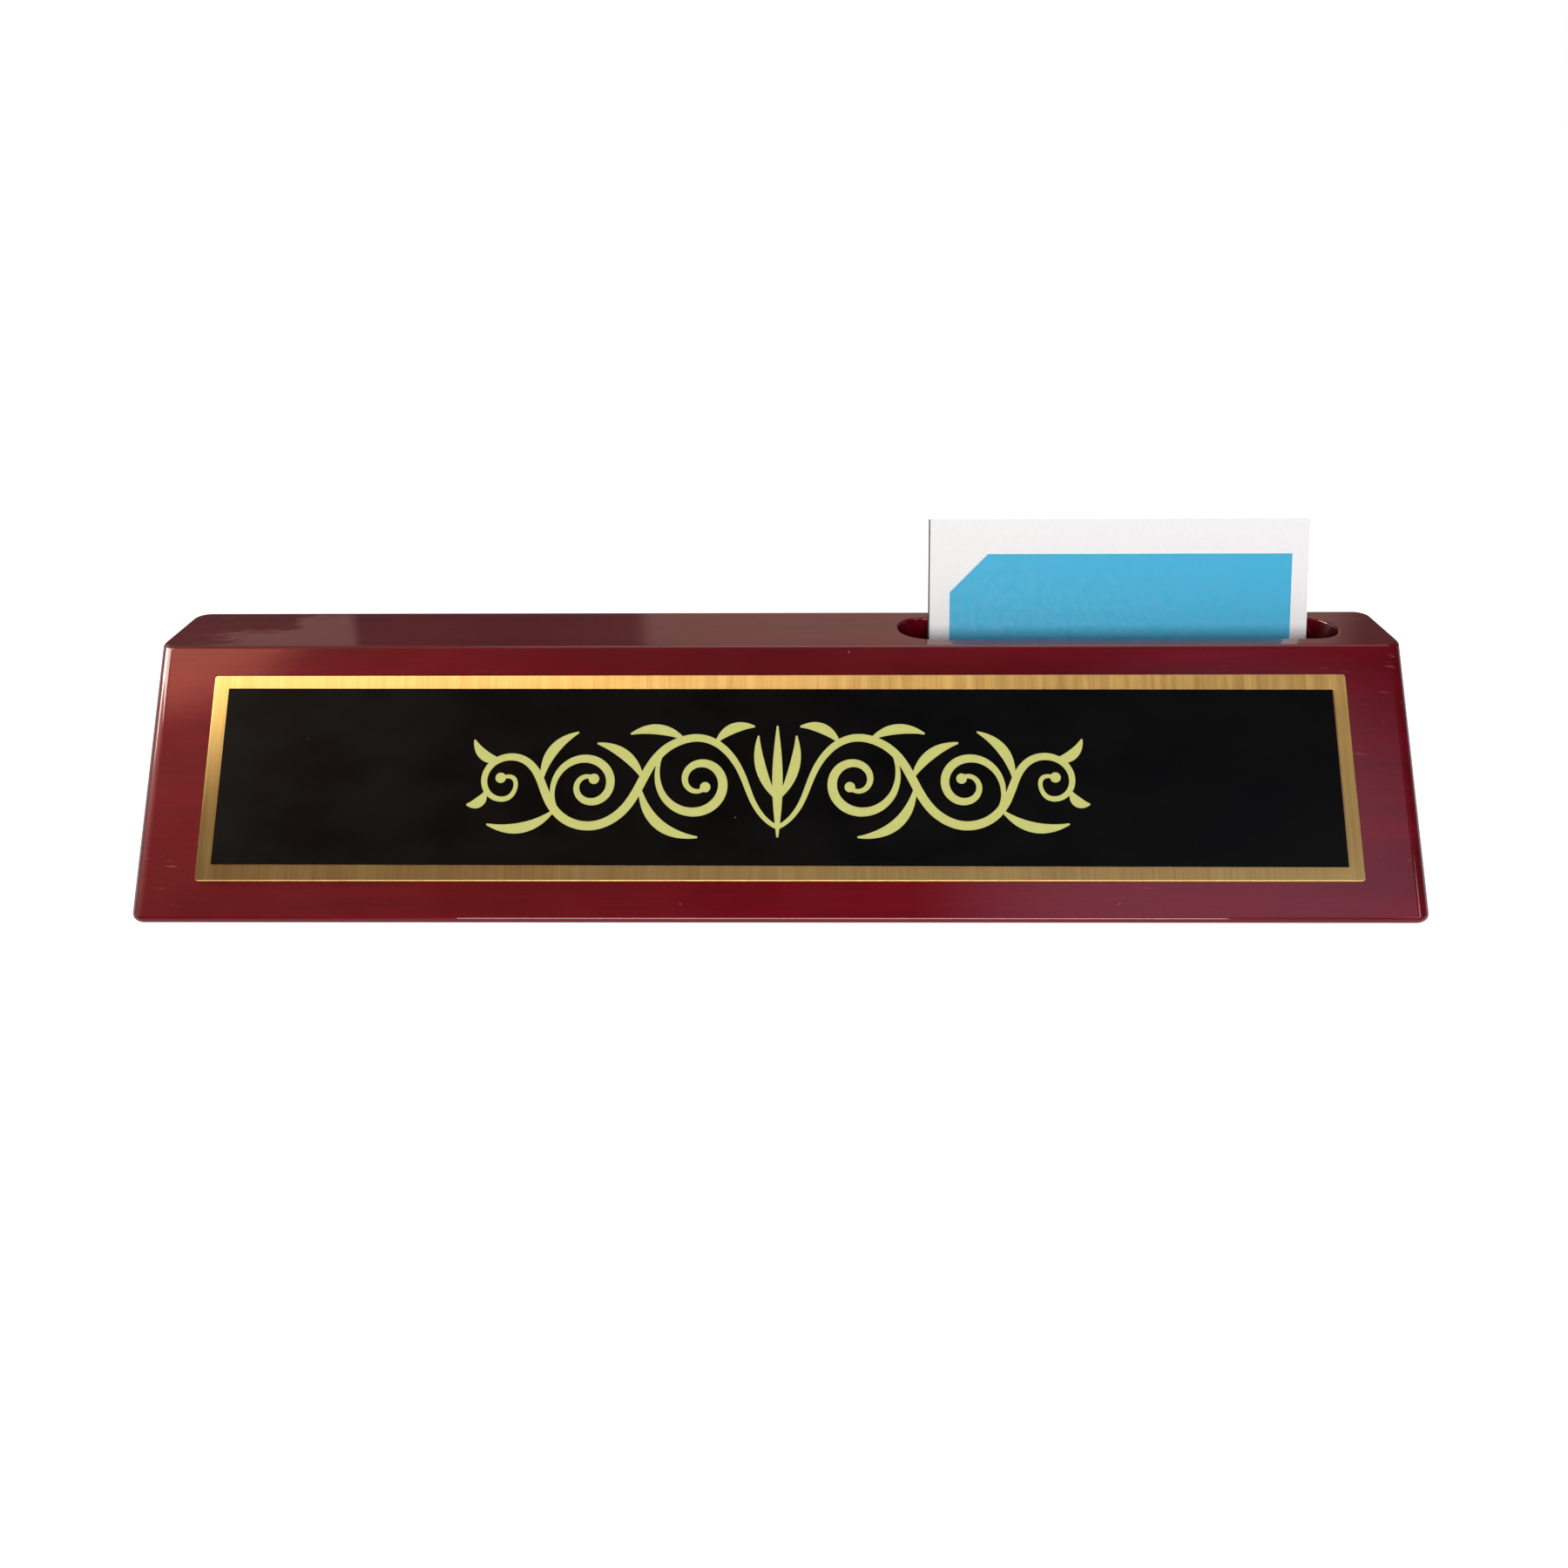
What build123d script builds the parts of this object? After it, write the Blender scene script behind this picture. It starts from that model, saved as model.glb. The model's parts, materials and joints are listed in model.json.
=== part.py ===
from build123d import *

import os
from math import acos, atan2, cos, degrees, hypot, pi, radians, sin, sqrt, tan

# A desk name wedge: a lacquered wooden block whose front slopes back to a narrow flat top.
# An engraving plate is taped on the slope, and a slot cut in the top holds business cards.
#
# Millimetres, +Z up, +X to the right of someone who faces the plate, which looks towards -Y.
# The four felt pads rest on Z = 0, under the middle of the whole piece, cards included.

# The block
block_length = 268.8
block_height = 46.4
slope_run = 39.2             # how far the front leans back from the bottom to the top
top_width = 22.0
corner_radius = 3.6          # the upright and sloping edges at the two ends
top_edge_radius = 1.2
bottom_edge_radius = 1.0

# The card slot in the top
slot_depth = 31.0
slot_land = 4.25             # of flat top in front of the slot and behind it
slot_end_room = 6.0          # from a card that stands in the slot's middle to either end
slot_end_margin = 10.8       # from the slot to the block's right end
rim_radius = 0.6

# The cards, which stand with their feet at the slot's front wall and lean on its rear rim
card_length = 85.0
card_height = 55.0
card_thickness = 0.38
card_gap = 0.06              # between the two cards
card_shift = 1.45            # how far the front card stands to the right of the slot's middle
card_stagger = 0.28          # how far the rear card stands out to the left of the front one
front_wall_clearance = 0.15
rim_clearance = 0.10
floor_clearance = 0.10

# The engraving plate and the two strips of tape behind it
plate_end_margin = 13.75     # from the plate to the block's sharp ends
plate_top_margin = 6.79      # from the plate to the sharp edge where the slope meets the top
plate_thickness = 0.6
plate_corner_radius = 0.7
plate_edge_chamfer = 0.15
plate_rise = 9.5             # up the slope from the block's sharp bottom edge
tape_width = 12.0
tape_thickness = 0.2
tape_margin = 3.0            # from the tape to the plate's edges

# The black enamel on the plate, and the ornament printed on the enamel
gold_border = 3.2
enamel_thickness = 0.10
enamel_skew = 0.14           # degrees clockwise, as the enamel isn't quite square on the plate
print_thickness = 0.08
flourish_drop = 1.5          # from the enamel's middle down to the ornament's

# The widths of the pen's strokes at their start, middle and end
vine_pen = (0.9, 1.9, 0.8)
root_pen = (0.5, 2.0, 0.8)
middle_pen = (0.5, 1.8, 0.8)
leaf_pen = (0.4, 2.2, 0.35)
bead_radius = 1.1            # of the round bead in the middle of a scroll
stroke_steps = 28
scroll_step = 40             # degrees between two points of a scroll

# The felt pads under the block
pad_radius = 6.0
pad_thickness = 1.2
pad_margin = 4.0             # from a pad to the edges of the flat underside

# Lean of the front, and how far the rounded bottom edge stands behind the sharp one
slope_angle = atan2(block_height, slope_run)
bottom_edge_flat = bottom_edge_radius / tan(slope_angle / 2)
nose_setback = bottom_edge_flat - bottom_edge_radius

# The plate fills the slope but for its margins
plate_length = block_length - 2 * plate_end_margin
plate_height = hypot(slope_run, block_height) - plate_rise - plate_top_margin

# The slot lies between its two lands and holds the cards with room at their ends
slot_length = card_length + 2 * slot_end_room
slot_width = top_width - 2 * slot_land

# The slot's round end takes this much depth from the card's corners, at the front and the rear
slot_end_radius = slot_width / 2
slot_straight = slot_length - slot_width
corner_overhang = max(0, card_length / 2 + card_shift - slot_straight / 2)
corner_loss = slot_end_radius - sqrt(slot_end_radius**2 - corner_overhang**2)
foot_gap = front_wall_clearance + corner_loss

# Lean of the cards: their stack passes the rear rim's rounding at the rim clearance
stack_thickness = 2 * card_thickness + card_gap
foot_lift = floor_clearance + stack_thickness / 2
rim_run = slot_width - corner_loss + rim_radius - foot_gap
rim_rise = slot_depth - rim_radius - foot_lift
rim_to_card_face = rim_radius + rim_clearance + stack_thickness
card_lean = acos(rim_to_card_face / hypot(rim_run, rim_rise)) - atan2(rim_rise, rim_run)

# Depths measured from the block's sharp bottom front edge, then that edge's own place
block_depth = slope_run + top_width
slot_front_depth = slope_run + slot_land
foot_depth = slot_front_depth + foot_gap
card_top_depth = foot_depth + stack_thickness * cos(card_lean) + card_height * sin(card_lean)
whole_depth = max(block_depth, card_top_depth)
nose_y = -(whole_depth + nose_setback) / 2
back_y = nose_y + block_depth

underside_z = pad_thickness
top_z = underside_z + block_height
slot_x = block_length / 2 - slot_end_margin - slot_length / 2
slot_y = nose_y + slot_front_depth + slot_width / 2

slope_plane = Plane(
    origin=(0, nose_y, underside_z),
    x_dir=(1, 0, 0),
    z_dir=(0, -sin(slope_angle), cos(slope_angle)),
)
plate_back = slope_plane.offset(tape_thickness)
plate_front = plate_back.offset(plate_thickness)
plate_middle = plate_rise + plate_height / 2
outward = Axis(slope_plane.origin, slope_plane.z_dir)

card_plane = Plane(
    origin=(slot_x + card_shift, nose_y + foot_depth, top_z - slot_depth + foot_lift),
    x_dir=(1, 0, 0),
    z_dir=(0, -cos(card_lean), sin(card_lean)),
)

finished = {}

# The block, cut from one piece of wood, rounded at its edges and slotted with a round cutter
with BuildPart() as wedge_block:
    with BuildSketch(Plane.YZ.offset(-block_length / 2)):
        with BuildLine():
            Polyline(
                (nose_y, underside_z),
                (nose_y + slope_run, top_z),
                (back_y, top_z),
                (back_y, underside_z),
                close=True,
            )
        make_face()
    extrude(amount=block_length)

    corners = wedge_block.edges().filter_by(Axis.X, reverse=True)
    fillet(corners.filter_by(Axis.Y, reverse=True), radius=corner_radius)
    fillet(wedge_block.faces().sort_by(Axis.Z)[-1].edges(), radius=top_edge_radius)
    fillet(wedge_block.faces().sort_by(Axis.Z)[0].edges(), radius=bottom_edge_radius)

    with BuildSketch(Plane.XY.offset(top_z)):
        with Locations((slot_x, slot_y)):
            SlotOverall(slot_length, slot_width)
    extrude(amount=-slot_depth, mode=Mode.SUBTRACT)
    slot_mouth = wedge_block.faces().filter_by(Plane.XY).sort_by(Axis.Z)[-1].inner_wires()
    fillet(slot_mouth.edges(), radius=rim_radius)
finished["wedge_block"] = wedge_block.part

# The brass plate, with its front edges eased by the stamping
with BuildPart() as name_plate:
    with BuildSketch(plate_back):
        with Locations((0, plate_middle)):
            RectangleRounded(plate_length, plate_height, plate_corner_radius)
    extrude(amount=plate_thickness)
    chamfer(name_plate.faces().sort_by(outward)[-1].edges(), length=plate_edge_chamfer)
finished["name_plate"] = name_plate.part

# Two strips of tape between the plate and the slope
tape_offset = plate_height / 2 - tape_margin - tape_width / 2
for place, tape_middle in (
    ("lower", plate_middle - tape_offset),
    ("upper", plate_middle + tape_offset),
):
    with BuildPart() as plate_tape:
        with BuildSketch(slope_plane):
            with Locations((0, tape_middle)):
                Rectangle(plate_length - 2 * tape_margin, tape_width)
        extrude(amount=tape_thickness)
    finished["plate_tape_" + place] = plate_tape.part

# The enamel, which leaves a bright border of brass all round
with BuildPart() as black_enamel_field:
    with BuildSketch(plate_front):
        with Locations((0, plate_middle)):
            Rectangle(
                plate_length - 2 * gold_border,
                plate_height - 2 * gold_border,
                rotation=-enamel_skew,
            )
    extrude(amount=enamel_thickness)
finished["black_enamel_field"] = black_enamel_field.part


def pen_stroke(path, pen):
    """Add one stroke of a broad pen along path, which swells towards its middle."""
    start_width, middle_width, end_width = pen
    centreline = Spline(*path, mode=Mode.PRIVATE)
    left_side = []
    right_side = []
    swell = middle_width - (start_width + end_width) / 2
    for step in range(stroke_steps + 1):
        share = step / stroke_steps
        taper = start_width + (end_width - start_width) * share
        half_width = (taper + swell * sin(pi * share)) / 2
        across = (centreline % share).rotate(Axis.Z, 90) * half_width
        left_side.append((centreline @ share) + across)
        right_side.append((centreline @ share) - across)
    with BuildLine() as outline:
        Spline(*left_side)
        Line(left_side[-1], right_side[-1])
        Spline(*reversed(right_side))
        Line(right_side[0], left_side[0])
    make_face(outline.line)


def scroll(centre, start_radius, end_radius, start_angle, turn):
    """Points of a spiral that tightens as it turns about centre, both angles in degrees."""
    points = []
    count = round(abs(turn) / scroll_step)
    for step in range(count + 1):
        share = step / count
        radius = start_radius * (end_radius / start_radius) ** share
        angle = radians(start_angle + turn * share)
        points.append((centre[0] + radius * cos(angle), centre[1] + radius * sin(angle)))
    return points


# The ornament: a vine that waves out from the middle, with a scroll in each of its hollows
# and leaves on its outer sides. Only the right half is drawn, and the left mirrors it.
root_scroll = [(23.6, 7.4)] + scroll((16.5, 0.4), 9.0, 1.9, 14, -510)
middle_scroll = [(45.2, -6.6)] + scroll((39.5, -0.6), 7.9, 1.8, -16, 500)
tip_scroll = scroll((57.2, -0.2), 7.6, 1.6, 176, -480)
vine = [
    (0, -9.5),
    (4.6, -5.0),
    (8.2, 3.4),
    (15.4, 9.6),
    (24.0, 7.0),
    (28.6, 0.0),
    (32.6, -6.2),
    (39.6, -9.2),
    (46.2, -6.2),
] + tip_scroll
leaves = [
    [(0, -11.6), (0, 1.0), (0, 12.4)],
    [(0.2, -3.5), (3.6, 3.6), (4.0, 10.2)],
    [(13.0, 8.7), (9.4, 11.8), (4.8, 12.2)],
    [(19.6, 9.4), (25.0, 11.6), (31.0, 10.6)],
    [(28.2, 0.8), (31.8, 5.8), (38.0, 8.6)],
    [(28.9, -0.6), (25.0, -8.6), (16.6, -11.6)],
    [(49.4, 0.6), (47.6, 6.6), (42.0, 11.0)],
    [(46.6, -5.8), (52.6, -9.4), (60.6, -8.8)],
    [(57.6, 4.9), (61.2, 5.6), (64.0, 9.4)],
    [(61.2, -1.8), (62.6, -4.2), (65.0, -4.6)],
]

with BuildPart() as flourish_print:
    with BuildSketch(plate_front.offset(enamel_thickness)):
        with BuildSketch(mode=Mode.PRIVATE) as ornament:
            pen_stroke(vine, vine_pen)
            pen_stroke(root_scroll, root_pen)
            pen_stroke(middle_scroll, middle_pen)
            for leaf in leaves:
                pen_stroke(leaf, leaf_pen)
            for coil in (root_scroll, middle_scroll, tip_scroll):
                with Locations(coil[-1]):
                    Circle(bead_radius)
            mirror(about=Plane.YZ)
        with Locations((0, plate_middle - flourish_drop)):
            add(ornament.sketch)
    extrude(amount=print_thickness)
finished["flourish_print"] = flourish_print.part

# Four felt pads, stuck near the corners of the flat underside
front_pad_y = nose_y + bottom_edge_flat + pad_margin + pad_radius
rear_pad_y = back_y - bottom_edge_radius - pad_margin - pad_radius
pad_x = block_length / 2 - bottom_edge_radius - pad_margin - pad_radius
for place, centre in (
    ("front_left", (-pad_x, front_pad_y)),
    ("front_right", (pad_x, front_pad_y)),
    ("rear_left", (-pad_x, rear_pad_y)),
    ("rear_right", (pad_x, rear_pad_y)),
):
    with BuildPart() as felt_pad:
        with BuildSketch(Plane.XY):
            with Locations(centre):
                Circle(pad_radius)
        extrude(amount=pad_thickness)
    finished["felt_pad_" + place] = felt_pad.part

# Two cards in the slot, the rear one a little further to the left
for place, face_depth, shift in (
    ("front", 0, 0),
    ("rear", card_thickness + card_gap, -card_stagger),
):
    with BuildPart() as business_card:
        with BuildSketch(card_plane.offset(-face_depth)):
            with Locations((shift, card_height / 2)):
                Rectangle(card_length, card_height)
        extrude(amount=-card_thickness)
    finished["business_card_" + place] = business_card.part

os.makedirs("parts", exist_ok=True)
for name, piece in finished.items():
    piece.label = name
    export_step(piece, "parts/" + name + ".step")

print("The front slopes at", round(degrees(slope_angle), 2), "degrees")
print("The cards lean back", round(degrees(card_lean), 2), "degrees")
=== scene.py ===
import json
from math import atan2, cos, radians

import bmesh
import bpy
from mathutils import Matrix, Vector


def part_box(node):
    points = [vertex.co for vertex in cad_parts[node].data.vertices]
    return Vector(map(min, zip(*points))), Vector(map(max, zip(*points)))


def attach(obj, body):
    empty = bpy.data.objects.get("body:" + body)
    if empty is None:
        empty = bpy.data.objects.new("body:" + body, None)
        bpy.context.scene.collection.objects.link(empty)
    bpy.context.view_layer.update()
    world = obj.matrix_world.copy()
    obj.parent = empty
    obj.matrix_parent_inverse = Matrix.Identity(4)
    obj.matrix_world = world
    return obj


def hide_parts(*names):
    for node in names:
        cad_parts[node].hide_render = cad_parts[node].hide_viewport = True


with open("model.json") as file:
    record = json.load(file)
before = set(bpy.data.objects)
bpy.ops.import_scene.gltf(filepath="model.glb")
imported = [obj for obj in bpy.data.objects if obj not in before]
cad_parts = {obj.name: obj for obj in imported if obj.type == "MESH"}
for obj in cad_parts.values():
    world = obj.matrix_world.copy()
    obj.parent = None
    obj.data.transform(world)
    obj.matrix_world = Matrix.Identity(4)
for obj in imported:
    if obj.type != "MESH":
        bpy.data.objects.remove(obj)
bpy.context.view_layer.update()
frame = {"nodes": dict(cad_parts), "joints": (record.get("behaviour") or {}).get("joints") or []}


# ---------------------------------------------------------------------------------------
# The block: one piece of hardwood, planed to a wedge with its edges rounded over and a card
# slot routed in the top, then stained rosewood red and sprayed with clear piano lacquer
# that is rubbed out to a deep gloss.
# ---------------------------------------------------------------------------------------

block_height = 0.0464
slope_run = 0.0392
block_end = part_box("wedge_block")[1].x
wear_begins = 0.095

band_size = (0.120, 0.009, 0.009)
grain_size = (0.016, 0.0005, 0.0005)
pore_size = (0.006, 0.00028, 0.00028)
mottle_size = (0.035, 0.022, 0.022)
cloud_size = (0.020, 0.020, 0.020)
flow_size = (0.050, 0.016, 0.016)
peel_size = (0.0045, 0.0030, 0.0030)

flow_depth = 0.00004
peel_depth = 0.000005
grain_depth = 0.0000006
scratch_depth = 0.000004


def srgb(red, green, blue):
    """A colour as it is named on a screen, 0 to 255, in the linear values that a shader takes."""
    return tuple((channel / 255) ** 2.2 for channel in (red, green, blue)) + (1.0,)


def new_finish(name):
    """A node material, with its principled shader."""
    material = bpy.data.materials.new(name)
    material.use_nodes = True
    return material, material.node_tree.nodes["Principled BSDF"]


def feed(material, socket, value):
    """Give a socket its value: a number, a colour, or the socket of another node."""
    if isinstance(value, bpy.types.NodeSocket):
        material.node_tree.links.new(value, socket)
    else:
        socket.default_value = value


def add(material, kind, inputs, **settings):
    """Add one shader node with these inputs and settings."""
    node = material.node_tree.nodes.new("ShaderNode" + kind)
    for name, value in settings.items():
        setattr(node, name, value)
    for name, value in inputs.items():
        feed(material, node.inputs[name], value)
    return node


def coat_with(material, shader, colour, roughness, normal):
    """Lead a finish's patterns to its shader: colour, roughness and surface relief."""
    feed(material, shader.inputs["Base Color"], colour)
    feed(material, shader.inputs["Roughness"], roughness)
    feed(material, shader.inputs["Normal"], normal)


def pattern_space(material, size, turn=(0, 0, 0)):
    """Object coordinates in which one unit of pattern is size long in x, y and z, in metres."""
    place = add(material, "TexCoord", {}).outputs["Object"]
    scale = tuple(1 / length for length in size)
    turned = add(material, "Mapping", {"Vector": place, "Rotation": turn})
    return add(material, "Mapping", {"Vector": turned.outputs[0], "Scale": scale}).outputs[0]


def noise(material, size, detail=3.0, turn=(0, 0, 0), distortion=0.0):
    """Cloudy noise from 0 to 1 whose lumps are size long."""
    space = pattern_space(material, size, turn)
    settings = {"Vector": space, "Scale": 1.0, "Detail": detail, "Distortion": distortion}
    return add(material, "TexNoise", settings).outputs["Fac"]


def levels(material, value, low, high, to_low=0.0, to_high=1.0):
    """Stretch the span low to high of a value over to_low to to_high, with soft ends."""
    settings = {
        "Value": value,
        "From Min": low,
        "From Max": high,
        "To Min": to_low,
        "To Max": to_high,
    }
    node = add(material, "MapRange", settings, interpolation_type="SMOOTHSTEP")
    return node.outputs["Result"]


def maths(material, operation, first, second=0.0):
    """One arithmetic step on one or two values."""
    node = add(material, "Math", {}, operation=operation)
    feed(material, node.inputs[0], first)
    feed(material, node.inputs[1], second)
    return node.outputs[0]


def tint(material, share, below, above):
    """Mix the colour below with the colour above, by share."""
    node = add(material, "Mix", {"Factor": share}, data_type="RGBA")
    colour_below, colour_above, mixed = node.inputs[6], node.inputs[7], node.outputs[2]
    feed(material, colour_below, below)
    feed(material, colour_above, above)
    return mixed


def relief(material, height, depth, below=None):
    """A bump of that depth in metres, on top of the one below."""
    settings = {"Height": height, "Strength": 1.0, "Distance": depth}
    if below is not None:
        settings["Normal"] = below
    return add(material, "Bump", settings).outputs["Normal"]


def specks(material, spacing, size, rarity):
    """Scattered dots: 1 inside a dot, 0 elsewhere. Only a share of the cells, rarity, has one."""
    space = pattern_space(material, (spacing, spacing, spacing))
    cells = add(material, "TexVoronoi", {"Vector": space, "Scale": 1.0})
    dot = levels(material, cells.outputs["Distance"], size / spacing, 0.6 * size / spacing)
    lottery = add(material, "SeparateColor", {"Color": cells.outputs["Color"]}).outputs[0]
    chosen = maths(material, "LESS_THAN", lottery, rarity)
    return maths(material, "MULTIPLY", dot, chosen)


def scratches(material, length, width, turn, share):
    """Hairline rubbing marks, long in one direction: 1 on a mark, 0 elsewhere."""
    lines = noise(material, (length, width, width), 1.0, turn)
    patches = noise(material, (0.030, 0.030, 0.030), 1.0, turn)
    strong = levels(material, lines, 1 - share, 1 - 0.6 * share)
    return maths(material, "MULTIPLY", strong, levels(material, patches, 0.50, 0.64))


lacquer, lacquer_shader = new_finish("piano_lacquer_on_rosewood")
bands = noise(lacquer, band_size, 4.0, distortion=0.4)
grain = noise(lacquer, grain_size, 4.0)
pores = levels(lacquer, noise(lacquer, pore_size, 2.0), 0.62, 0.74)
mottle = noise(lacquer, mottle_size, 3.0)
stain = tint(lacquer, levels(lacquer, bands, 0.32, 0.68), srgb(85, 5, 20), srgb(102, 7, 27))
stain = tint(lacquer, levels(lacquer, grain, 0.35, 0.70, 0.0, 0.30), stain, srgb(58, 5, 13))
stain = tint(lacquer, levels(lacquer, mottle, 0.40, 0.75, 0.0, 0.35), stain, srgb(108, 18, 24))
stain = tint(lacquer, maths(lacquer, "MULTIPLY", pores, 0.3), stain, srgb(34, 4, 8))

# Rubbed marks and a few knocks, most of them near the ends, where hands take hold of it
long_rubs = scratches(lacquer, 0.014, 0.00055, (0, 0, 0.10), 0.31)
short_rubs = scratches(lacquer, 0.005, 0.00060, (0.2, 0.1, -0.5), 0.30)
block_place = add(lacquer, "TexCoord", {}).outputs["Object"]
along_block = add(lacquer, "SeparateXYZ", {"Vector": block_place}).outputs["X"]
from_middle = maths(lacquer, "ABSOLUTE", along_block)
end_wear = levels(lacquer, from_middle, wear_begins, block_end, 0.20, 1.0)
rub = maths(lacquer, "MULTIPLY", maths(lacquer, "MAXIMUM", long_rubs, short_rubs), end_wear)
dust = specks(lacquer, 0.0070, 0.00022, 0.35)
marks = maths(lacquer, "MAXIMUM", maths(lacquer, "MULTIPLY", rub, 0.6), dust)
stain = tint(lacquer, maths(lacquer, "MULTIPLY", marks, 0.7), stain, srgb(196, 122, 116))

dullness = levels(lacquer, noise(lacquer, cloud_size, 4.0), 0.3, 0.7, 0.34, 0.44)
dullness = maths(lacquer, "ADD", dullness, maths(lacquer, "MULTIPLY", marks, 0.25))
flow = relief(lacquer, noise(lacquer, flow_size, 1.0), flow_depth)
orange_peel = relief(lacquer, noise(lacquer, peel_size, 1.5), peel_depth, flow)
open_grain = relief(lacquer, grain, grain_depth, orange_peel)
scratched = relief(lacquer, rub, scratch_depth, open_grain)
coat_with(lacquer, lacquer_shader, stain, dullness, scratched)
feed(lacquer, lacquer_shader.inputs["Coat Normal"], scratched)
lacquer_shader.inputs["Specular IOR Level"].default_value = 0.45
lacquer_shader.inputs["Specular Tint"].default_value = (1.0, 0.17, 0.17, 1)
lacquer_shader.inputs["Coat Weight"].default_value = 1.0
lacquer_shader.inputs["Coat Roughness"].default_value = 0.020
lacquer_shader.inputs["Coat IOR"].default_value = 1.45
frame["nodes"]["wedge_block"].material_slots[0].material = lacquer


# ---------------------------------------------------------------------------------------
# The tape: two strips of thin double-sided foam tape along the back of the plate. They
# show only as a pale line in the shadow gap under its edges.
# ---------------------------------------------------------------------------------------

foam_cell = (0.0006, 0.0006, 0.0006)
foam_depth = 0.00003

tape_foam, tape_shader = new_finish("white_foam_tape")
foam = noise(tape_foam, foam_cell, 4.0)
foam_white = tint(tape_foam, foam, srgb(188, 184, 174), srgb(226, 223, 214))
foam_rough = levels(tape_foam, foam, 0.3, 0.7, 0.6, 0.85)
coat_with(tape_foam, tape_shader, foam_white, foam_rough, relief(tape_foam, foam, foam_depth))
for strip in ("plate_tape_lower", "plate_tape_upper"):
    frame["nodes"][strip].material_slots[0].material = tape_foam


# ---------------------------------------------------------------------------------------
# The plate: thin engraving brass, sheared to size with small round corners, its front
# brushed up the slope with a belt and its edges eased bright. It is taped on the slope.
# ---------------------------------------------------------------------------------------

plate_length = 0.2413
plate_height = 0.04445
plate_thickness = 0.0006
plate_corner = 0.0007
plate_ease = 0.00016
corner_steps = 5
ease_steps = 3

stroke_size = (0.00035, 0.030, 0.030)
streak_size = (0.0022, 0.045, 0.045)
sheen_size = (0.030, 0.012, 0.012)
stroke_depth = 0.0000016
streak_depth = 0.000003

slope_lean = atan2(block_height, slope_run)
slope_up = Matrix.Rotation(slope_lean, 4, "X")


def box_middle(node):
    """The middle of a CAD node's box."""
    low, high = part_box(node)
    return (low + high) / 2


def new_piece(name, mesh, finish, body, slot, *nodes):
    """Make a bmesh an object with one finish, which rides on a body and stands for nodes."""
    bmesh.ops.remove_doubles(mesh, verts=mesh.verts, dist=1e-7)
    bmesh.ops.recalc_face_normals(mesh, faces=mesh.faces)
    data = bpy.data.meshes.new(name)
    mesh.to_mesh(data)
    mesh.free()
    piece = bpy.data.objects.new(name, data)
    bpy.context.scene.collection.objects.link(piece)
    data.materials.append(finish)
    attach(piece, body)
    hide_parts(*nodes)
    return piece


def block_mesh(length, height, thickness):
    """A plain flat box on its own middle, x along and y up its face, z out of it."""
    mesh = bmesh.new()
    bmesh.ops.create_cube(mesh, size=1.0)
    bmesh.ops.scale(mesh, vec=(length, height, thickness), verts=mesh.verts)
    return mesh


def round_edges(mesh, edges, radius, steps):
    """Round edges with an arc of that many steps."""
    bmesh.ops.bevel(
        mesh,
        geom=edges,
        offset=radius,
        segments=steps,
        profile=0.5,
        affect="EDGES",
        material=-1,
    )


def runs_along(edge, axis):
    """True for a straight edge that runs along that axis."""
    span = edge.verts[0].co - edge.verts[1].co
    return abs(span[axis]) > 0.99 * span.length


def on_face(edge, thickness):
    """True for an edge that lies in the front face of a flat piece."""
    return all(vert.co.z > 0.49 * thickness for vert in edge.verts)


plate = block_mesh(plate_length, plate_height, plate_thickness)
corners = [edge for edge in plate.edges if runs_along(edge, 2)]
round_edges(plate, corners, plate_corner, corner_steps)
face_rim = [edge for edge in plate.edges if on_face(edge, plate_thickness)]
round_edges(plate, face_rim, plate_ease, ease_steps)
brushing = plate.loops.layers.uv.new("brushing")
for face in plate.faces:
    for corner in face.loops:
        corner[brushing].uv = (corner.vert.co.x, corner.vert.co.y)
plate_place = Matrix.Translation(box_middle("name_plate")) @ slope_up
bmesh.ops.transform(plate, matrix=plate_place, verts=plate.verts)

brass, brass_shader = new_finish("brushed_brass")
strokes = noise(brass, stroke_size, 3.0)
streaks = noise(brass, streak_size, 3.0)
sheen = noise(brass, sheen_size, 2.0)
metal = tint(brass, levels(brass, strokes, 0.3, 0.7), srgb(192, 164, 98), srgb(206, 180, 112))
metal = tint(brass, levels(brass, streaks, 0.4, 0.75, 0.0, 0.4), metal, srgb(218, 194, 128))
brass_rough = levels(brass, sheen, 0.3, 0.7, 0.32, 0.36)
uneven_rub = levels(brass, streaks, 0.35, 0.7, -0.02, 0.03)
brass_rough = maths(brass, "ADD", brass_rough, uneven_rub)
brushed = relief(brass, strokes, stroke_depth, relief(brass, streaks, streak_depth))
coat_with(brass, brass_shader, metal, brass_rough, brushed)
tangent = add(brass, "Tangent", {}, direction_type="UV_MAP", uv_map="brushing")
feed(brass, brass_shader.inputs["Tangent"], tangent.outputs[0])
brass_shader.inputs["Metallic"].default_value = 1.0
brass_shader.inputs["Anisotropic"].default_value = 0.97
new_piece("brass_plate", plate, brass, "block", "brass", "name_plate")


# ---------------------------------------------------------------------------------------
# The enamel: black screen-printed enamel, baked on the brass in one thin, slightly soft
# film that leaves a border of bare metal. Its face is satin and holds fine dust.
# ---------------------------------------------------------------------------------------

enamel_cloud_size = (0.018, 0.010, 0.010)
grit_size = (0.0005, 0.0005, 0.0005)
grit_depth = 0.000006

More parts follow.
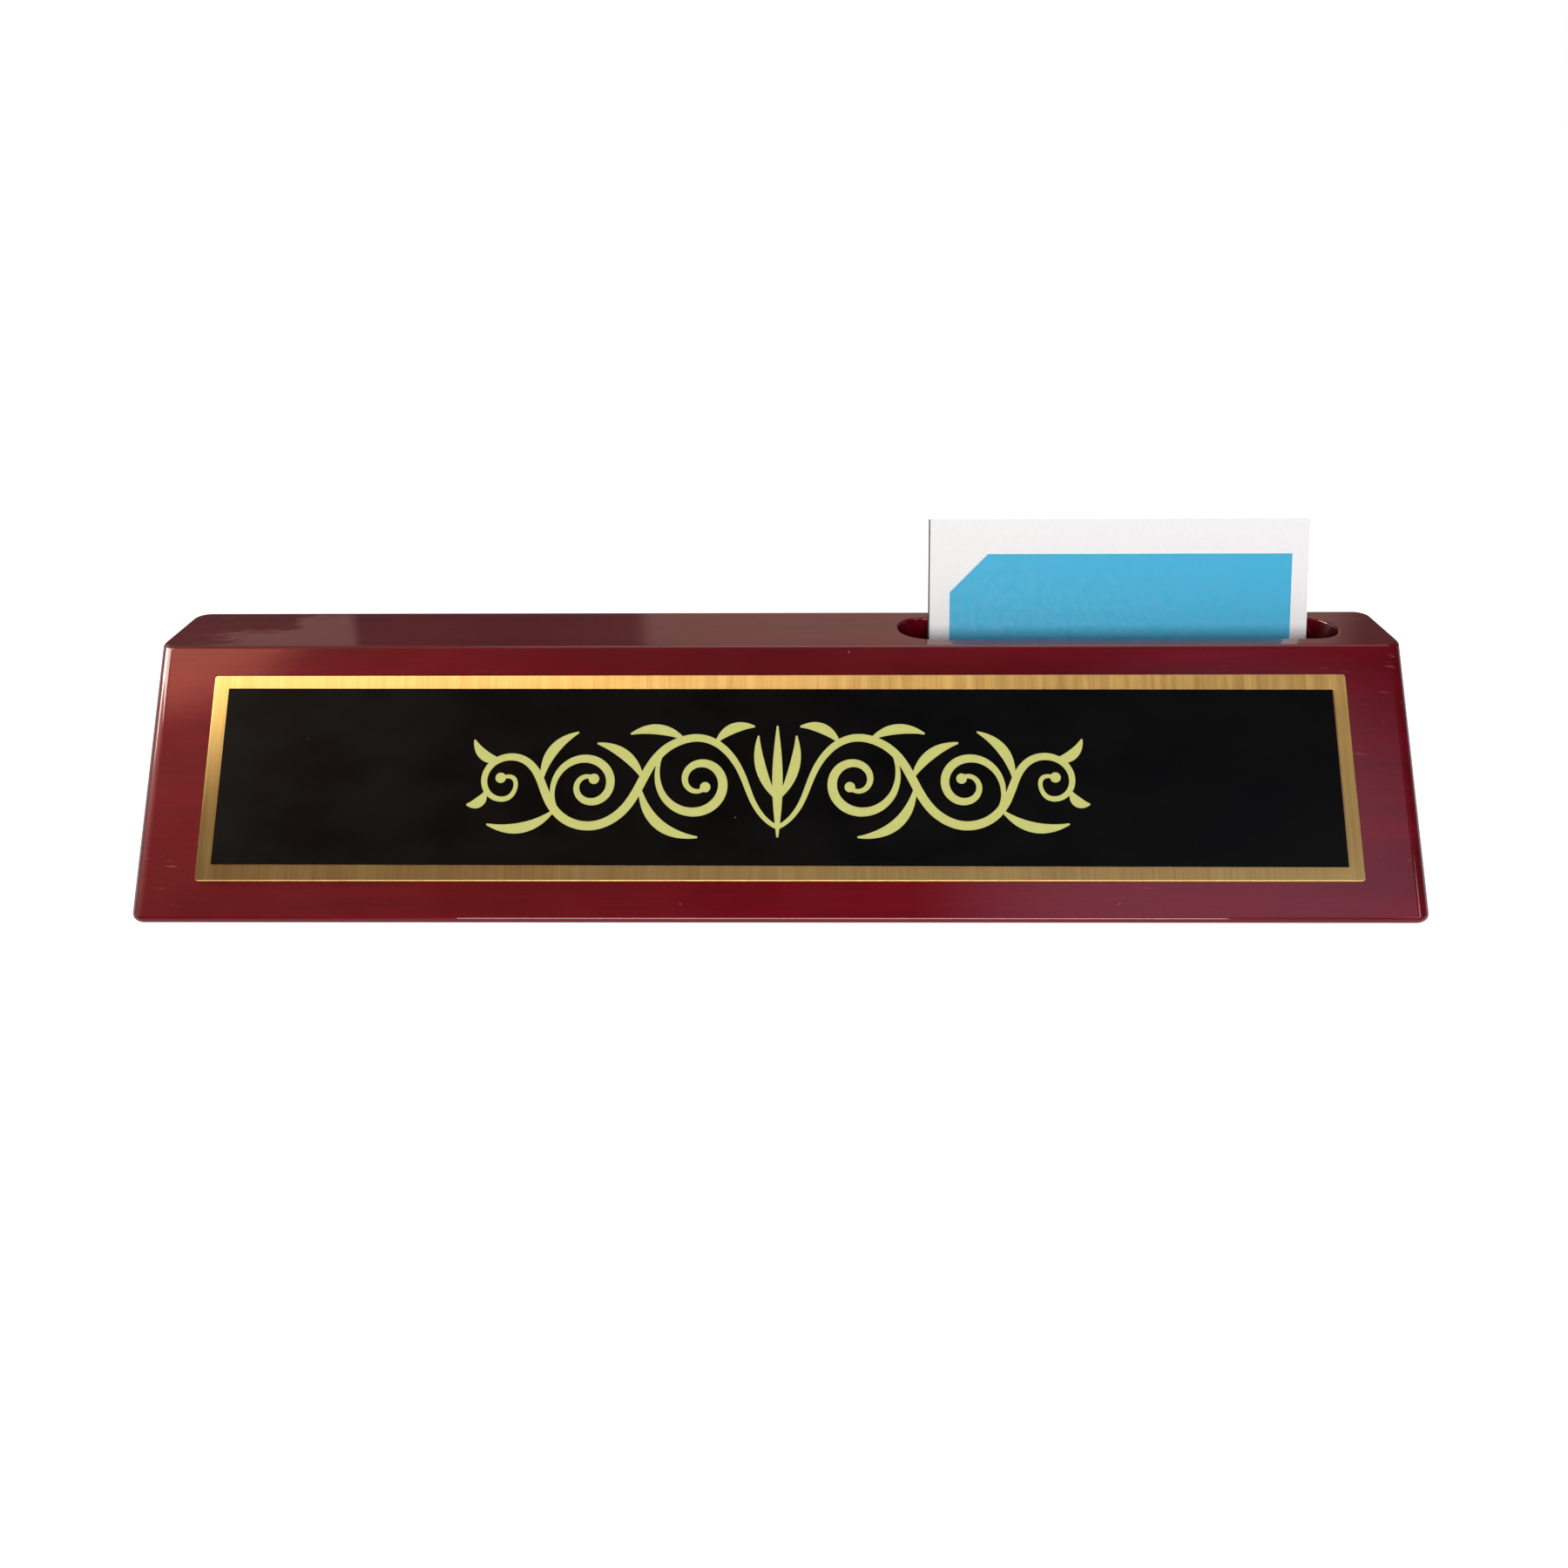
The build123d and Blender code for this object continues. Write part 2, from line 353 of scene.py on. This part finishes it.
enamel, enamel_shader = new_finish("satin_black_enamel")
enamel_cloud = noise(enamel, enamel_cloud_size, 4.0)
enamel_grit = noise(enamel, grit_size, 3.0)
black = tint(enamel, enamel_cloud, srgb(5, 5, 4), srgb(9, 9, 8))
lint = specks(enamel, 0.0100, 0.00020, 0.45)
black = tint(enamel, maths(enamel, "MULTIPLY", lint, 0.5), black, srgb(150, 150, 140))
enamel_rough = levels(enamel, enamel_cloud, 0.3, 0.7, 0.34, 0.46)
enamel_grain = relief(enamel, enamel_grit, grit_depth)
coat_with(enamel, enamel_shader, black, enamel_rough, enamel_grain)
enamel_shader.inputs["Specular IOR Level"].default_value = 0.08
frame["nodes"]["black_enamel_field"].material_slots[0].material = enamel


# ---------------------------------------------------------------------------------------
# The ornament: pale yellow-green printing ink, screened on the enamel in one pass, flat
# and even, with the slight mottle that a screen leaves.
# ---------------------------------------------------------------------------------------

screen_mottle = 0.0012
print_depth = 0.000008


def even_finish(name, mottle_length, detail, dark, pale, smooth, rough, depth):
    """An even print or board: one colour with a fine mottle, from smooth to rough."""
    material, shader = new_finish(name)
    mottled = noise(material, (mottle_length, mottle_length, mottle_length), detail)
    colour = tint(material, mottled, dark, pale)
    roughness = levels(material, mottled, 0.3, 0.7, smooth, rough)
    coat_with(material, shader, colour, roughness, relief(material, mottled, depth))
    return material


ink_dark = srgb(192, 194, 106)
ink_pale = srgb(204, 206, 118)
ink = even_finish(
    "pale_green_printing_ink", screen_mottle, 4.0, ink_dark, ink_pale, 0.5, 0.65, print_depth
)
frame["nodes"]["flourish_print"].material_slots[0].material = ink


# ---------------------------------------------------------------------------------------
# The pads: four discs punched from dark wool felt, with a sticky back pressed on the
# underside. The punched rim is soft and spreads a little at the foot.
# ---------------------------------------------------------------------------------------

pad_edge = 0.00035
pad_edge_steps = 3
pad_sides = 72
pad_trim_at_top = 0.00010
pad_trim_at_foot = 0.00004
fibre_size = (0.0016, 0.00022, 0.00022)
fibre_turn = (0.3, 0.2, 0.7)
fibre_curl = 2.5
fibre_depth = 0.00018

felt, felt_shader = new_finish("black_wool_felt")
fibres = noise(felt, fibre_size, 5.0, fibre_turn, fibre_curl)
felt_colour = tint(felt, fibres, srgb(20, 19, 20), srgb(62, 58, 58))
felt_rough = levels(felt, fibres, 0.3, 0.7, 0.85, 1.0)
coat_with(felt, felt_shader, felt_colour, felt_rough, relief(felt, fibres, fibre_depth))
felt_shader.inputs["Sheen Weight"].default_value = 0.35
felt_shader.inputs["Sheen Roughness"].default_value = 0.5
felt_shader.inputs["Specular IOR Level"].default_value = 0.15

for pad in ("front_left", "front_right", "rear_left", "rear_right"):
    pad_low, pad_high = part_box("felt_pad_" + pad)
    pad_radius = (pad_high.x - pad_low.x) / 2
    disc = bmesh.new()
    bmesh.ops.create_cone(
        disc,
        cap_ends=True,
        segments=pad_sides,
        radius1=pad_radius - pad_trim_at_foot,
        radius2=pad_radius - pad_trim_at_top,
        depth=pad_high.z - pad_low.z,
    )
    rims = [edge for edge in disc.edges if abs(edge.verts[0].co.z - edge.verts[1].co.z) < 1e-6]
    round_edges(disc, rims, pad_edge, pad_edge_steps)
    bmesh.ops.translate(disc, vec=box_middle("felt_pad_" + pad), verts=disc.verts)
    new_piece("felt_disc_" + pad, disc, felt, "block", "felt", "felt_pad_" + pad)


# ---------------------------------------------------------------------------------------
# The cards: two business cards of smooth board, cut square. The front one is white and
# carries a plain blue printed panel with one cut corner. The rear one is dark teal.
# ---------------------------------------------------------------------------------------

panel_left = 0.0045
panel_right = 0.00375
panel_top = 0.0078
panel_bottom = 0.0060
panel_cut = 0.0085
ink_film = 0.00002
card_thickness = 0.00038
pulp_length = 0.0010
pulp_depth = 0.000010

white = srgb(236, 236, 234)
bright_white = srgb(245, 245, 244)
board = even_finish(
    "white_card_board", pulp_length, 5.0, white, bright_white, 0.5, 0.65, pulp_depth
)
teal_dark = srgb(40, 66, 64)
teal_pale = srgb(58, 86, 84)
teal = even_finish(
    "dark_teal_card", pulp_length, 5.0, teal_dark, teal_pale, 0.45, 0.6, pulp_depth
)
blue_dark = srgb(38, 168, 208)
blue_pale = srgb(50, 176, 216)
blue = even_finish(
    "blue_card_ink", screen_mottle, 5.0, blue_dark, blue_pale, 0.45, 0.6, print_depth
)
frame["nodes"]["business_card_front"].material_slots[0].material = board
frame["nodes"]["business_card_rear"].material_slots[0].material = teal

# The panel lies on the front card's face, which leans back along the way the card lifts
lift = Vector(next(joint["axis"] for joint in frame["joints"] if joint["child"] == "front_card"))
card_low, card_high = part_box("business_card_front")
card_length = card_high.x - card_low.x
card_height = (card_high.z - card_low.z - card_thickness * lift.y) / lift.z
out_of_face = Vector((0, -lift.z, lift.y))
card_turn = Matrix.Rotation(atan2(lift.z, lift.y), 4, "X")
panel_length = card_length - panel_left - panel_right
panel_height = card_height - panel_top - panel_bottom
panel_middle = box_middle("business_card_front")
panel_middle += Vector((panel_left - panel_right, 0, 0)) / 2
panel_middle += lift * (panel_bottom - panel_top) / 2
panel_middle += out_of_face * (card_thickness + ink_film) / 2
panel = block_mesh(panel_length, panel_height, ink_film)
cut_corner = [
    edge
    for edge in panel.edges
    if runs_along(edge, 2) and edge.verts[0].co.x < 0 < edge.verts[0].co.y
]
round_edges(panel, cut_corner, panel_cut, 1)
panel_place = Matrix.Translation(panel_middle) @ card_turn
bmesh.ops.transform(panel, matrix=panel_place, verts=panel.verts)
new_piece("blue_panel_print", panel, blue, "front_card", "card")


# ---------------------------------------------------------------------------------------
# The studio: a floor of white paper without a visible end, in a dim room with one pale
# wall, under a soft top light, so that the lacquer has something quiet to reflect.
# ---------------------------------------------------------------------------------------

floor_reach = 12.0
paper_glow_unseen = 0.22
paper_glow_seen = 0.84

floor_mesh = bmesh.new()
bmesh.ops.create_grid(floor_mesh, x_segments=1, y_segments=1, size=floor_reach)
floor_data = bpy.data.meshes.new("floor")
floor_mesh.to_mesh(floor_data)
floor_mesh.free()
floor = bpy.data.objects.new("floor", floor_data)
bpy.context.scene.collection.objects.link(floor)
paper, paper_shader = new_finish("white_paper_floor")
paper_shader.inputs["Base Color"].default_value = (0.86, 0.86, 0.86, 1)
paper_shader.inputs["Roughness"].default_value = 0.9
paper_shader.inputs["Specular IOR Level"].default_value = 0.1
paper_shader.inputs["Emission Color"].default_value = (1, 1, 1, 1)
# The paper glows to the eye more than it lights, so it stays white and the lower edges dark
paper_seen = add(paper, "LightPath", {}).outputs["Is Camera Ray"]
paper_glow = levels(paper, paper_seen, 0.0, 1.0, paper_glow_unseen, paper_glow_seen)
feed(paper, paper_shader.inputs["Emission Strength"], paper_glow)
floor_data.materials.append(paper)

room_in_front = (0.028, 0.029, 0.034, 1)
room_behind = (0.10, 0.055, 0.060, 1)
wall_pale = (0.47, 0.29, 0.25, 1)
ceiling_pale = (0.40, 0.40, 0.40, 1)
evening_window = (0.95, 0.82, 1.15, 1)
warm_carpet = (0.31, 0.14, 0.08, 1)
table_lamp = (4.7, 1.5, 0.9, 1)

world = bpy.data.worlds.new("studio")
bpy.context.scene.world = world
world.use_nodes = True
background = world.node_tree.nodes["Background"]
background.inputs["Strength"].default_value = 1.0
ray = add(world, "TexCoord", {}).outputs["Generated"]
ray_way = add(world, "SeparateXYZ", {"Vector": ray})
ray_kind = add(world, "LightPath", {})


def glow(towards, inner, outer):
    """A soft round glow in the room: 1 within inner degrees of a direction, 0 past outer."""
    settings = {0: ray, 1: Vector(towards).normalized()}
    nearness = add(world, "VectorMath", settings, operation="DOT_PRODUCT").outputs["Value"]
    return levels(world, nearness, cos(radians(outer)), cos(radians(inner)))


# The pale wall behind has a dark gap in it, left of the middle. Left of the gap it begins
# higher up, and a little lower right beside the gap.
behind = levels(world, ray_way.outputs["Y"], 0.20, 0.45)
rise = ray_way.outputs["Z"]
sideways = maths(world, "DIVIDE", ray_way.outputs["X"], ray_way.outputs["Y"])
past_gap = levels(world, sideways, -0.135, -0.115)
before_corner = levels(world, sideways, 0.46, 0.42)
right_wall = maths(world, "MULTIPLY", past_gap, before_corner)
at_gap = levels(world, sideways, -0.410, -0.400)
low_part = maths(world, "MULTIPLY", at_gap, levels(world, rise, 0.3165, 0.3185))
high_part = levels(world, rise, 0.3225, 0.3245)
left_of_gap = levels(world, sideways, -0.355, -0.367)
left_wall = maths(world, "MULTIPLY", left_of_gap, maths(world, "MAXIMUM", high_part, low_part))
wall = maths(world, "MULTIPLY", behind, maths(world, "MAXIMUM", right_wall, left_wall))
overhead = levels(world, rise, 0.80, 0.97)

# The lamp shows in gloss only and lights nothing
lamp_glow = glow((-0.45, -0.385, 0.806), 5.6, 8.2)
lamp_glow = maths(world, "MULTIPLY", lamp_glow, ray_kind.outputs["Is Glossy Ray"])

room = tint(world, behind, room_in_front, room_behind)
room = tint(world, wall, room, wall_pale)
room = tint(world, overhead, room, ceiling_pale)
room = tint(world, glow((0.30, -0.645, 0.70), 2, 13), room, evening_window)
room = tint(world, glow((-0.30, -0.635, 0.71), 4, 17), room, warm_carpet)
room = tint(world, lamp_glow, room, table_lamp)
room = tint(world, ray_kind.outputs["Is Camera Ray"], room, (1, 1, 1, 1))
feed(world, background.inputs["Color"], room)

plate_aim = Vector((0, 0, 0.03))


def soft_light(name, place, turn, width, height, watts, colour):
    """A rectangular softbox at place that faces the plate, turned in its own plane."""
    data = bpy.data.lights.new(name, "AREA")
    data.shape = "RECTANGLE"
    data.size = width
    data.size_y = height
    data.energy = watts
    data.color = colour
    lamp = bpy.data.objects.new(name, data)
    facing = (plate_aim - Vector(place)).to_track_quat("-Z", "Y").to_matrix().to_4x4()
    in_plane = Matrix.Rotation(radians(turn), 4, "Z")
    lamp.matrix_world = Matrix.Translation(place) @ facing @ in_plane
    bpy.context.scene.collection.objects.link(lamp)
    return lamp


sun_data = bpy.data.lights.new("top_light", "SUN")
sun_data.energy = 0.56
sun_data.angle = radians(40)
sun = bpy.data.objects.new("top_light", sun_data)
sun.rotation_euler = (radians(-18), radians(6), 0)
bpy.context.scene.collection.objects.link(sun)
soft_light("front_fill", (0.05, -1.25, 0.35), 0, 0.9, 0.4, 11.3, (1, 0.99, 0.97))
soft_light("right_window", (0.85, -0.80, 0.62), 0, 0.45, 0.30, 2.2, (0.80, 0.86, 1))

# Two strips beside the left end give the lacquer its bright edge and the brass its sheen.
# They are seen in gloss only and light nothing.
left_strip = soft_light(
    "left_strip", (-0.911, 0.0, 0.664), 43, 0.80, 0.45, 13.8, (1, 0.95, 0.80)
)
end_strip = soft_light("end_strip", (-1.14, 0.10, 0.50), 0, 0.34, 0.26, 5.2, (1, 0.96, 0.86))
for strip_light in (left_strip, end_strip):
    strip_light.visible_diffuse = False

# The camera stands in front of the plate, less than 30 cm away, and looks down at it
camera_place = (0.00439, -0.25768, 0.14908)
camera_pitch = radians(27.061)
camera_yaw = radians(0.711)
camera_roll = radians(-0.354)

camera_data = bpy.data.cameras.new("camera")
camera_data.lens = 30.0
camera_data.sensor_width = 36.0
camera_data.clip_start = 0.01
camera = bpy.data.objects.new("camera", camera_data)
camera.matrix_world = (
    Matrix.Translation(camera_place)
    @ Matrix.Rotation(camera_yaw, 4, "Z")
    @ Matrix.Rotation(radians(90) - camera_pitch, 4, "X")
    @ Matrix.Rotation(camera_roll, 4, "Z")
)
bpy.context.scene.collection.objects.link(camera)
bpy.context.scene.camera = camera
bpy.context.scene.view_settings.view_transform = "Standard"
